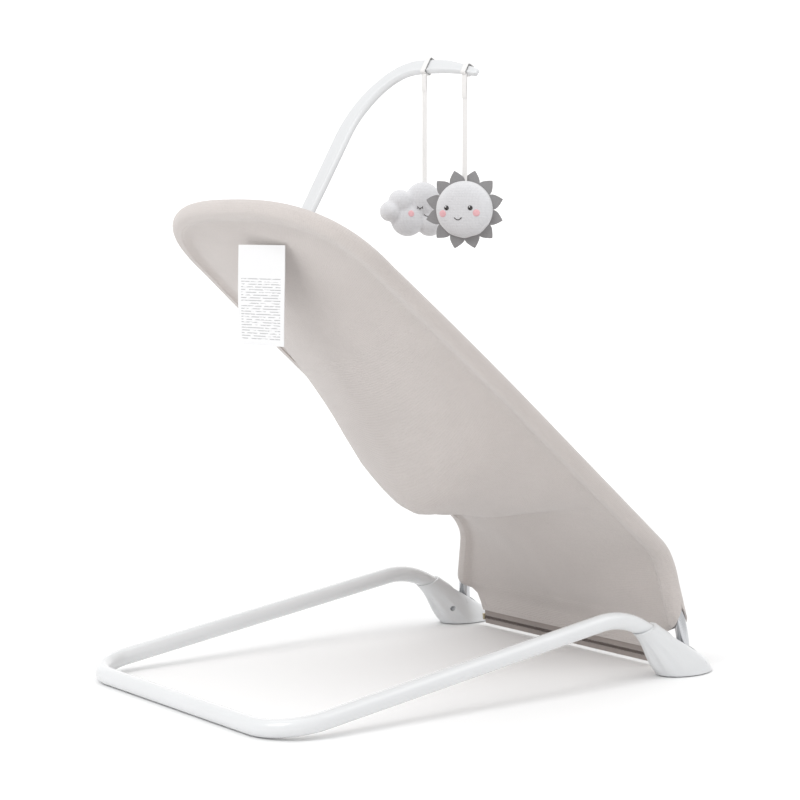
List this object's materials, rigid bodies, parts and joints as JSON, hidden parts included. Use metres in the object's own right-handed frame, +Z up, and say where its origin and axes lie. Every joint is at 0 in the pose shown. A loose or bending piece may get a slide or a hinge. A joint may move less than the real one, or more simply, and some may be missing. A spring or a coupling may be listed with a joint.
{
  "type": "baby bouncer seat",
  "caption": "Low bouncer seat: bent tube frame on a floor loop, zipped fabric sling with lap harness, one-armed toy bar with hanging plush toys.",
  "frame": {"origin": "on the floor, under the middle of the object's bounding box", "axes": "+Z up; the seat faces -Y and its head end is at +Y; +X is the seated child's left"},
  "size_m": [0.508, 0.6919, 0.8104],
  "materials": {
    "bright_steel": "bright",
    "button_grey": "matt mid grey",
    "cover_fabric": "knitted",
    "felt": "felt",
    "grey_plastic": "matt dark grey",
    "label": "smooth",
    "plush": "short pile",
    "ribbon": "woven",
    "rubber": "matt",
    "webbing": "woven",
    "white_paint": "glossy white",
    "white_plastic": "satin white",
    "zip_metal": "satin",
    "zip_tape": "woven"
  },
  "bodies": {
    "base": {"base_tube": "white_paint", "foot_outer_shell_left": "white_plastic", "foot_inner_shell_left": "white_plastic", "foot_pad_left": "rubber", "hinge_pin_left": "bright_steel", "hinge_washer_inner_left": "bright_steel", "hinge_washer_outer_left": "bright_steel", "foot_screw_rear_left": "bright_steel", "foot_screw_front_left": "bright_steel", "foot_outer_shell_right": "white_plastic", "foot_inner_shell_right": "white_plastic", "foot_pad_right": "rubber", "hinge_pin_right": "bright_steel", "hinge_washer_inner_right": "bright_steel", "hinge_washer_outer_right": "bright_steel", "foot_screw_rear_right": "bright_steel", "foot_screw_front_right": "bright_steel"},
    "seat_frame": {"seat_tube": "bright_steel", "hinge_lug_left": "grey_plastic", "hinge_lug_right": "grey_plastic", "seat_cover_front": "cover_fabric", "seat_cover_back": "cover_fabric", "lower_panel_front": "cover_fabric", "lower_panel_back": "cover_fabric", "zip_tape_lower": "zip_tape", "zip_tape_upper": "zip_tape", "zip_teeth": "zip_tape", "zip_stop_left": "zip_metal", "zip_stop_right": "zip_metal", "blank_label": "label", "crotch_strap": "webbing", "buckle_body": "grey_plastic", "buckle_tongue_left": "grey_plastic", "waist_strap_left": "webbing", "strap_slide_left": "grey_plastic", "buckle_tongue_right": "grey_plastic", "waist_strap_right": "webbing", "strap_slide_right": "grey_plastic", "toy_bar_clip": "white_plastic", "arm_bush": "grey_plastic"},
    "zip_slider": {"zip_slider": "zip_metal"},
    "zip_pull": {"zip_pull": "zip_metal"},
    "buckle_button": {"buckle_button": "button_grey"},
    "toy_arm": {"toy_bar": "white_plastic", "cloud_ribbon_loop": "ribbon", "sun_ribbon_loop": "ribbon"},
    "cloud": {"cloud_ribbon": "ribbon", "cloud_toy": "plush"},
    "sun": {"sun_ribbon": "ribbon", "sun_toy": "plush", "sun_rays": "felt"}
  },
  "joints": [
    {"name": "seat_recline", "type": "hinge", "parent": "base", "child": "seat_frame", "pos_m": [0, -0.30166, 0.022], "axis": [-1, 0, 0], "range_deg": [0, 22]},
    {"name": "toy_bar_swivel", "type": "hinge", "parent": "seat_frame", "child": "toy_arm", "pos_m": [0.207, 0.0789, 0.46004], "axis": [0, -0.5, 0.866], "range_deg": [0, 115]},
    {"name": "cloud_swing", "type": "hinge", "parent": "toy_arm", "child": "cloud", "pos_m": [0.08, -0.10911, 0.78389], "axis": [1, 0, 0], "range_deg": [-30, 30]},
    {"name": "sun_swing", "type": "hinge", "parent": "toy_arm", "child": "sun", "pos_m": [-0.01, -0.10547, 0.77759], "axis": [1, 0, 0], "range_deg": [-30, 30]},
    {"name": "zip_slide", "type": "slide", "parent": "seat_frame", "child": "zip_slider", "axis": [1, 0, 0], "range_m": [0, 0.345]},
    {"name": "zip_pull_flip", "type": "hinge", "parent": "zip_slider", "child": "zip_pull", "pos_m": [-0.174, -0.29611, 0.0144], "axis": [1, 0, 0], "range_deg": [0, 110]},
    {"name": "buckle_press", "type": "slide", "parent": "seat_frame", "child": "buckle_button", "axis": [0, 0.1435, -0.9897], "range_m": [0, 0.0022], "stiffness_N_per_m": 600, "springref_m": -0.001}
  ]
}
